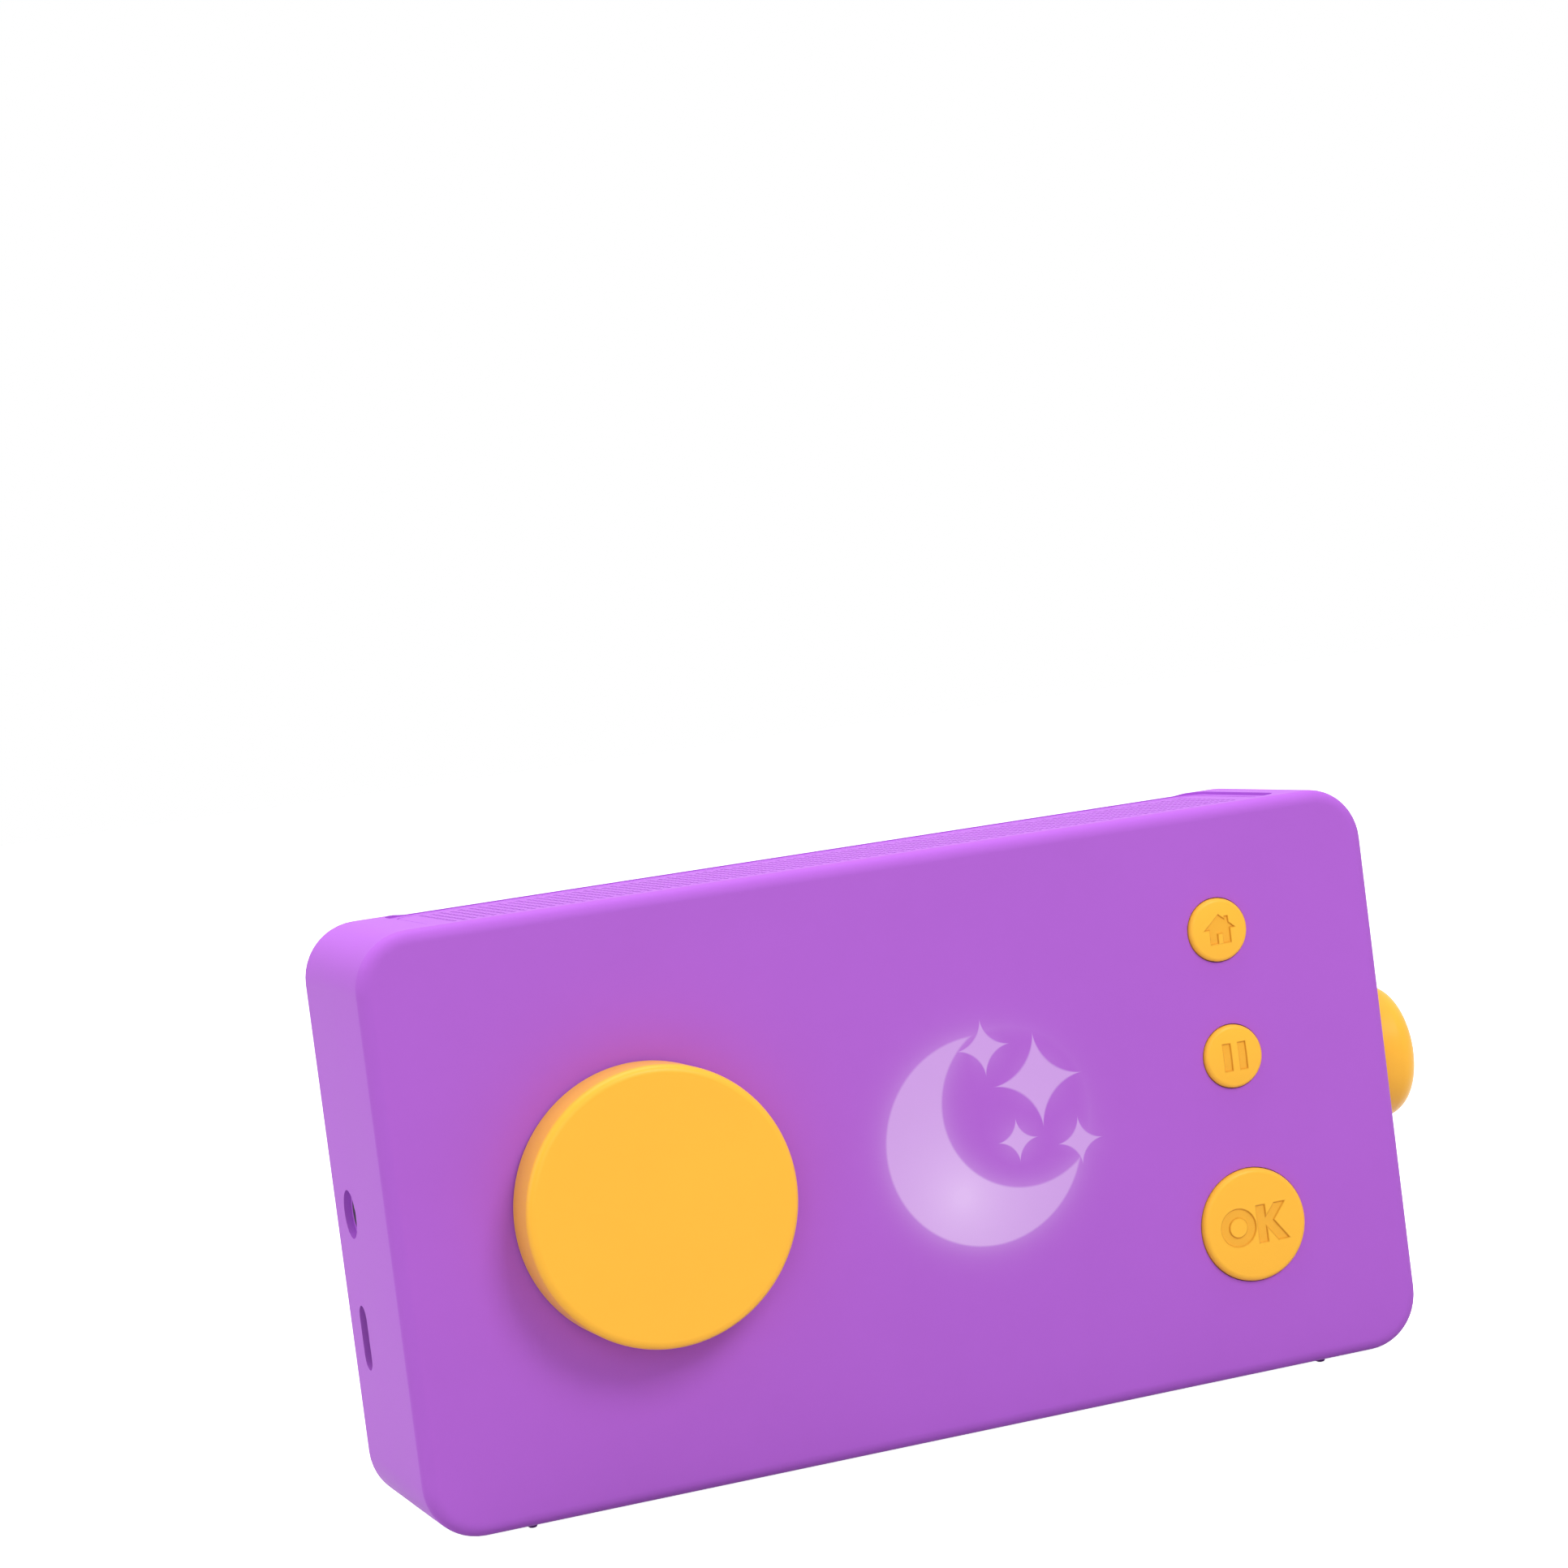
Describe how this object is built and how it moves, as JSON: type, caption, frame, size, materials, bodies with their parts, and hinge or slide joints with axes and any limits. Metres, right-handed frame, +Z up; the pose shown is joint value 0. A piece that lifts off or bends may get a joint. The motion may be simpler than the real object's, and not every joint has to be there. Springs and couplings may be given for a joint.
{
  "type": "audio story player",
  "caption": "Child's audio story player: a rounded moulded box with a big selector dial, push buttons, a side volume knob, a glowing window and a top speaker grille.",
  "frame": {"origin": "bottom centre of the whole player's box, on the plane that the foot strips stand on", "axes": "+X to the user's right along the case, +Y from the front face to the rear cover, +Z up"},
  "size_m": [0.1958, 0.0506, 0.1022],
  "materials": {
    "case_plastic": "fine satin moulded ABS",
    "cover_plastic": "fine satin moulded ABS",
    "grille_plastic": "satin moulded ABS, perforated",
    "control_plastic": "satin moulded ABS",
    "foot_rubber": "soft matte",
    "screw_steel": "zinc plated",
    "basket_steel": "black stove enamel",
    "magnet": "sintered ferrite, plated yoke",
    "cone_paper": "pressed paper with a rubber edge",
    "foam": "closed-cell foam",
    "cloth": "fine woven dust cloth",
    "board_green": "solder mask",
    "chip_black": "epoxy moulding",
    "socket_white": "nylon",
    "diffuser_white": "milky polycarbonate",
    "shroud_white": "reflective white ABS",
    "lamp": "clear epoxy over phosphor",
    "control_metal": "nickel plated",
    "switch_black": "glass-filled nylon",
    "plunger_white": "acetal",
    "jack_black": "glass-filled nylon",
    "socket_steel": "stamped, nickel plated",
    "cell_wrap": "cell in blue shrink wrap",
    "lead_black": "flexible jacket"
  },
  "bodies": {
    "player": {"front_housing": "case_plastic", "rear_cover": "cover_plastic", "cover_screws": "screw_steel", "speaker_grille": "grille_plastic", "grille_cloth": "cloth", "foot_strips": "foot_rubber", "speaker_basket": "basket_steel", "speaker_magnet": "magnet", "speaker_cone": "cone_paper", "speaker_gasket": "foam", "speaker_screws": "screw_steel", "encoder_body": "control_metal", "encoder_washer": "control_metal", "encoder_nut": "control_metal", "potentiometer": "control_metal", "volume_washer": "control_metal", "volume_nut": "control_metal", "light_diffuser": "diffuser_white", "light_shroud": "shroud_white", "window_lamps": "lamp", "main_board": "board_green", "board_chips": "chip_black", "lead_sockets": "socket_white", "board_screws": "screw_steel", "port_board": "board_green", "headphone_jack": "jack_black", "charging_socket": "socket_steel", "port_board_screws": "screw_steel", "battery_cell": "cell_wrap", "battery_strap": "socket_steel", "strap_screws": "screw_steel", "battery_lead": "lead_black", "speaker_lead": "lead_black", "volume_lead": "lead_black", "port_lead": "lead_black", "port_lead_socket": "socket_white", "home_switch": "switch_black", "pause_switch": "switch_black", "ok_switch": "switch_black"},
    "dial": {"dial_cap": "control_plastic", "encoder_shaft": "control_metal"},
    "volume": {"volume_knob": "control_plastic", "volume_shaft": "control_metal"},
    "home": {"home_button": "control_plastic", "home_plunger": "plunger_white"},
    "pause": {"pause_button": "control_plastic", "pause_plunger": "plunger_white"},
    "ok": {"ok_button": "control_plastic", "ok_plunger": "plunger_white"}
  },
  "joints": [
    {"name": "dial_turn", "type": "hinge", "parent": "player", "child": "dial", "pos_m": [-0.05365, -0.0157, 0.0512], "axis": [0, 1, 0], "continuous": true},
    {"name": "volume_turn", "type": "hinge", "parent": "player", "child": "volume", "pos_m": [0.08715, 0.0047, 0.0512], "axis": [-1, 0, 0], "range_deg": [0, 300]},
    {"name": "home_press", "type": "slide", "parent": "player", "child": "home", "axis": [0, 1, 0], "range_m": [0, 0.0008], "stiffness_N_per_m": 2500},
    {"name": "pause_press", "type": "slide", "parent": "player", "child": "pause", "axis": [0, 1, 0], "range_m": [0, 0.0008], "stiffness_N_per_m": 2500},
    {"name": "ok_press", "type": "slide", "parent": "player", "child": "ok", "axis": [0, 1, 0], "range_m": [0, 0.0008], "stiffness_N_per_m": 2500}
  ]
}
